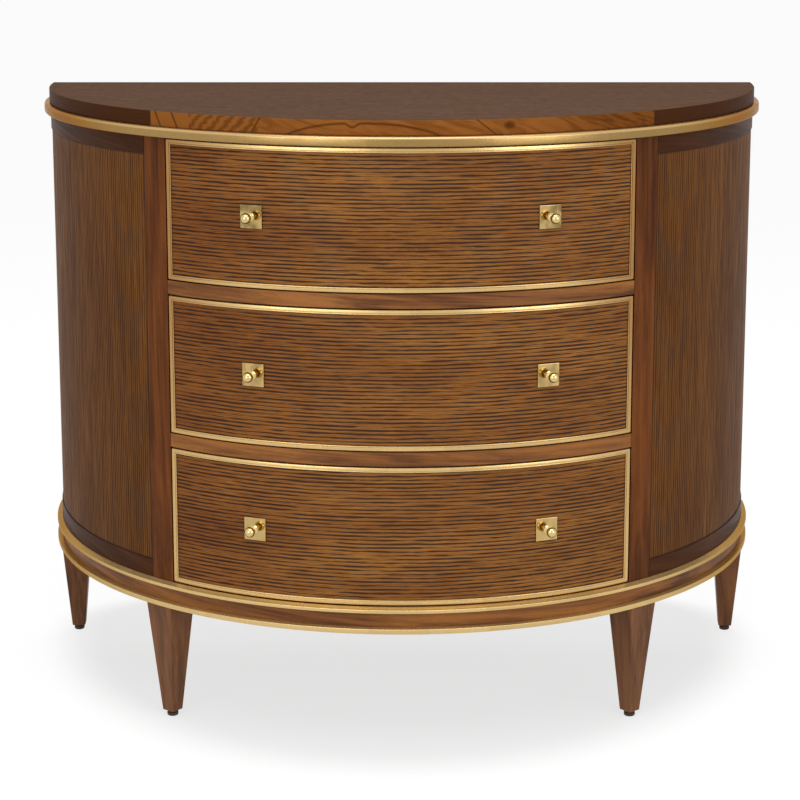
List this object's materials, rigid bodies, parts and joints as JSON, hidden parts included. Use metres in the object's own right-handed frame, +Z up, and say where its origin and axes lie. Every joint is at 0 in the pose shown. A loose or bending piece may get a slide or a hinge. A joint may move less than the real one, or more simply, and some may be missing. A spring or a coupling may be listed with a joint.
{
  "type": "demilune chest of drawers",
  "caption": "Half-round chest with bowed sliding drawers, gilt mouldings and frames, brass knobs on square plates, and square tapered legs.",
  "frame": {"origin": "on the floor, under the middle of the whole chest", "axes": "+X to the chest's right as seen from the front, +Y to its flat back, +Z up; the drawers face -Y"},
  "size_m": [1.0914, 0.5458, 0.874],
  "materials": {
    "dark_top_wood": "satin lacquer on dark brown fine-grained veneer",
    "reddish_walnut": "satin lacquer on reddish brown walnut",
    "striped_veneer": "satin lacquer on upright striped veneer",
    "brushed_veneer": "wire-brushed level-grain veneer with dark filled pores",
    "gold_leaf": "gold leaf over a wooden moulding",
    "polished_brass": "polished",
    "drawer_lining_wood": "clear sealed pale wood",
    "carcass_wood": "stained secondary wood",
    "dark_glide": "matt dark brown"
  },
  "bodies": {
    "case": {"top_board": "dark_top_wood", "top_moulding": "gold_leaf", "sub_top": "carcass_wood", "front_stile_left": "reddish_walnut", "front_stile_right": "reddish_walnut", "back_stile_left": "reddish_walnut", "back_stile_right": "reddish_walnut", "side_top_rail_left": "reddish_walnut", "side_top_rail_right": "reddish_walnut", "side_bottom_rail_left": "reddish_walnut", "side_bottom_rail_right": "reddish_walnut", "side_panel_left": "striped_veneer", "side_panel_right": "striped_veneer", "back_panel": "carcass_wood", "partition_left": "carcass_wood", "partition_right": "carcass_wood", "divider_shelf_lower": "reddish_walnut", "divider_shelf_upper": "reddish_walnut", "base_frame": "reddish_walnut", "bottom_board": "carcass_wood", "base_bead_upper": "gold_leaf", "base_bead_lower": "gold_leaf", "leg_front_left": "reddish_walnut", "glide_front_left": "dark_glide", "leg_front_right": "reddish_walnut", "glide_front_right": "dark_glide", "leg_back_left": "reddish_walnut", "glide_back_left": "dark_glide", "leg_back_right": "reddish_walnut", "glide_back_right": "dark_glide"},
    "drawer_1": {"drawer_1_front": "brushed_veneer", "drawer_1_gilt_frame": "gold_leaf", "drawer_1_bottom": "drawer_lining_wood", "drawer_1_side_left": "drawer_lining_wood", "drawer_1_side_right": "drawer_lining_wood", "drawer_1_back": "drawer_lining_wood", "drawer_1_backplate_left": "polished_brass", "drawer_1_backplate_right": "polished_brass", "drawer_1_knob_left": "polished_brass", "drawer_1_knob_right": "polished_brass"},
    "drawer_2": {"drawer_2_front": "brushed_veneer", "drawer_2_gilt_frame": "gold_leaf", "drawer_2_bottom": "drawer_lining_wood", "drawer_2_side_left": "drawer_lining_wood", "drawer_2_side_right": "drawer_lining_wood", "drawer_2_back": "drawer_lining_wood", "drawer_2_backplate_left": "polished_brass", "drawer_2_backplate_right": "polished_brass", "drawer_2_knob_left": "polished_brass", "drawer_2_knob_right": "polished_brass"},
    "drawer_3": {"drawer_3_front": "brushed_veneer", "drawer_3_gilt_frame": "gold_leaf", "drawer_3_bottom": "drawer_lining_wood", "drawer_3_side_left": "drawer_lining_wood", "drawer_3_side_right": "drawer_lining_wood", "drawer_3_back": "drawer_lining_wood", "drawer_3_backplate_left": "polished_brass", "drawer_3_backplate_right": "polished_brass", "drawer_3_knob_left": "polished_brass", "drawer_3_knob_right": "polished_brass"}
  },
  "joints": [
    {"name": "drawer_1_slide", "type": "slide", "parent": "case", "child": "drawer_1", "axis": [0, -1, 0], "range_m": [0, 0.3]},
    {"name": "drawer_2_slide", "type": "slide", "parent": "case", "child": "drawer_2", "axis": [0, -1, 0], "range_m": [0, 0.3]},
    {"name": "drawer_3_slide", "type": "slide", "parent": "case", "child": "drawer_3", "axis": [0, -1, 0], "range_m": [0, 0.3]}
  ]
}
